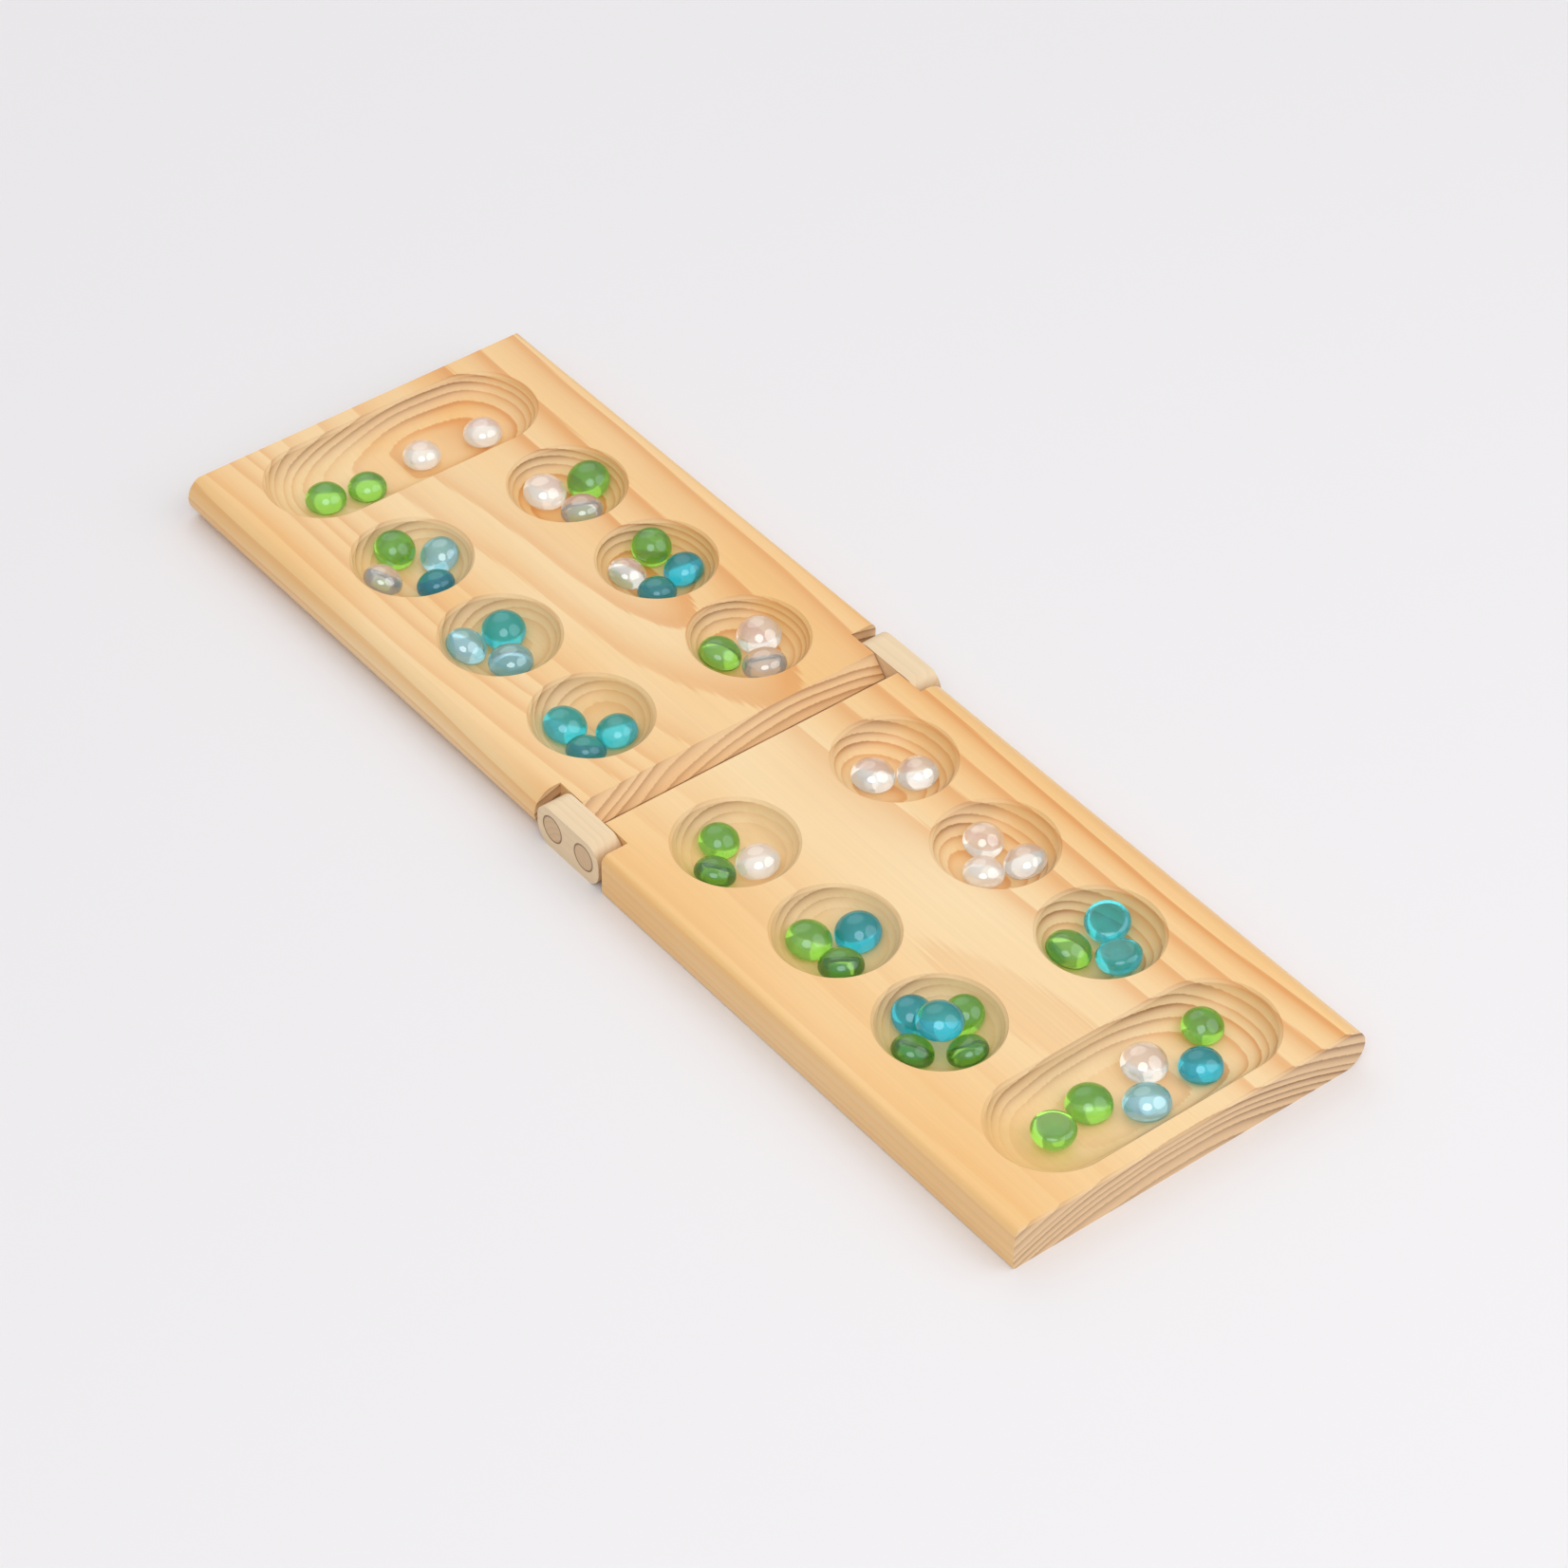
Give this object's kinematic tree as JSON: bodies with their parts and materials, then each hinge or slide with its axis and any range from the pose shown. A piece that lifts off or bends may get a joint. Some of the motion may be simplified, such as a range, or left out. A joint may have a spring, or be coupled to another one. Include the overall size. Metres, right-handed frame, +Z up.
{
  "type": "mancala board",
  "caption": "Long wooden mancala board that folds face to face on pinned wooden links, with rows of round pits, an oblong store across each end, and glass gems lying in them.",
  "frame": {"origin": "middle of the seam, on the underside that the open board rests on", "axes": "+X along the open board towards the near store, +Y across it towards the right row, +Z up"},
  "size_m": [0.438, 0.14, 0.022],
  "materials": {
    "pine": "satin clear varnish",
    "link_wood": "satin clear varnish",
    "dowel_wood": "bare turned wood",
    "green_glass": "polished, lustred",
    "teal_glass": "polished, lustred",
    "blue_glass": "polished, lustred",
    "silver_glass": "polished, lustred",
    "clear_glass": "polished, lustred",
    "pearl_glass": "polished, lustred"
  },
  "bodies": {
    "hinge_links": {"left_link": "link_wood", "right_link": "link_wood"},
    "far_board": {"far_half": "pine", "far_left_dowel": "dowel_wood", "far_right_dowel": "dowel_wood"},
    "near_board": {"near_half": "pine", "near_left_dowel": "dowel_wood", "near_right_dowel": "dowel_wood"},
    "left_1_gems": {"left_1_gem_1": "green_glass", "left_1_gem_2": "silver_glass", "left_1_gem_3": "blue_glass", "left_1_gem_4": "clear_glass"},
    "left_2_gems": {"left_2_gem_1": "silver_glass", "left_2_gem_2": "teal_glass", "left_2_gem_3": "silver_glass"},
    "left_3_gems": {"left_3_gem_1": "teal_glass", "left_3_gem_2": "teal_glass", "left_3_gem_3": "teal_glass"},
    "right_1_gems": {"right_1_gem_1": "pearl_glass", "right_1_gem_2": "green_glass", "right_1_gem_3": "clear_glass"},
    "right_2_gems": {"right_2_gem_1": "green_glass", "right_2_gem_2": "clear_glass", "right_2_gem_3": "teal_glass", "right_2_gem_4": "blue_glass"},
    "right_3_gems": {"right_3_gem_1": "green_glass", "right_3_gem_2": "clear_glass", "right_3_gem_3": "clear_glass"},
    "far_store_gems": {"far_store_gem_1": "green_glass", "far_store_gem_2": "green_glass", "far_store_gem_3": "pearl_glass", "far_store_gem_4": "pearl_glass"},
    "left_4_gems": {"left_4_gem_1": "green_glass", "left_4_gem_2": "green_glass", "left_4_gem_3": "pearl_glass"},
    "left_5_gems": {"left_5_gem_1": "green_glass", "left_5_gem_2": "blue_glass", "left_5_gem_3": "green_glass"},
    "left_6_gems": {"left_6_gem_1": "blue_glass", "left_6_gem_2": "green_glass", "left_6_gem_3": "green_glass", "left_6_gem_4": "green_glass", "left_6_gem_5": "blue_glass"},
    "right_4_gems": {"right_4_gem_1": "clear_glass", "right_4_gem_2": "clear_glass"},
    "right_5_gems": {"right_5_gem_1": "clear_glass", "right_5_gem_2": "pearl_glass", "right_5_gem_3": "clear_glass"},
    "right_6_gems": {"right_6_gem_1": "teal_glass", "right_6_gem_2": "green_glass", "right_6_gem_3": "teal_glass"},
    "near_store_gems": {"near_store_gem_1": "green_glass", "near_store_gem_2": "green_glass", "near_store_gem_3": "silver_glass", "near_store_gem_4": "clear_glass", "near_store_gem_5": "blue_glass", "near_store_gem_6": "green_glass"}
  },
  "joints": [
    {"name": "far_fold", "type": "hinge", "parent": "hinge_links", "child": "far_board", "pos_m": [-0.00825, 0, 0.0085], "axis": [0, 1, 0], "range_deg": [0, 90]},
    {"name": "near_fold", "type": "hinge", "parent": "hinge_links", "child": "near_board", "pos_m": [0.00825, 0, 0.0085], "axis": [0, -1, 0], "range_deg": [0, 90]},
    {"name": "left_1_lift", "type": "slide", "parent": "far_board", "child": "left_1_gems", "axis": [0, 0, -1], "range_m": [-0.04, 0]},
    {"name": "left_2_lift", "type": "slide", "parent": "far_board", "child": "left_2_gems", "axis": [0, 0, -1], "range_m": [-0.04, 0]},
    {"name": "left_3_lift", "type": "slide", "parent": "far_board", "child": "left_3_gems", "axis": [0, 0, -1], "range_m": [-0.04, 0]},
    {"name": "right_1_lift", "type": "slide", "parent": "far_board", "child": "right_1_gems", "axis": [0, 0, -1], "range_m": [-0.04, 0]},
    {"name": "right_2_lift", "type": "slide", "parent": "far_board", "child": "right_2_gems", "axis": [0, 0, -1], "range_m": [-0.04, 0]},
    {"name": "right_3_lift", "type": "slide", "parent": "far_board", "child": "right_3_gems", "axis": [0, 0, -1], "range_m": [-0.04, 0]},
    {"name": "far_store_lift", "type": "slide", "parent": "far_board", "child": "far_store_gems", "axis": [0, 0, -1], "range_m": [-0.04, 0]},
    {"name": "left_4_lift", "type": "slide", "parent": "near_board", "child": "left_4_gems", "axis": [0, 0, -1], "range_m": [-0.04, 0]},
    {"name": "left_5_lift", "type": "slide", "parent": "near_board", "child": "left_5_gems", "axis": [0, 0, -1], "range_m": [-0.04, 0]},
    {"name": "left_6_lift", "type": "slide", "parent": "near_board", "child": "left_6_gems", "axis": [0, 0, -1], "range_m": [-0.04, 0]},
    {"name": "right_4_lift", "type": "slide", "parent": "near_board", "child": "right_4_gems", "axis": [0, 0, -1], "range_m": [-0.04, 0]},
    {"name": "right_5_lift", "type": "slide", "parent": "near_board", "child": "right_5_gems", "axis": [0, 0, -1], "range_m": [-0.04, 0]},
    {"name": "right_6_lift", "type": "slide", "parent": "near_board", "child": "right_6_gems", "axis": [0, 0, -1], "range_m": [-0.04, 0]},
    {"name": "near_store_lift", "type": "slide", "parent": "near_board", "child": "near_store_gems", "axis": [0, 0, -1], "range_m": [-0.04, 0]}
  ],
  "couplings": [
    {"joint": "near_fold", "follows": "far_fold", "ratio": 1}
  ]
}
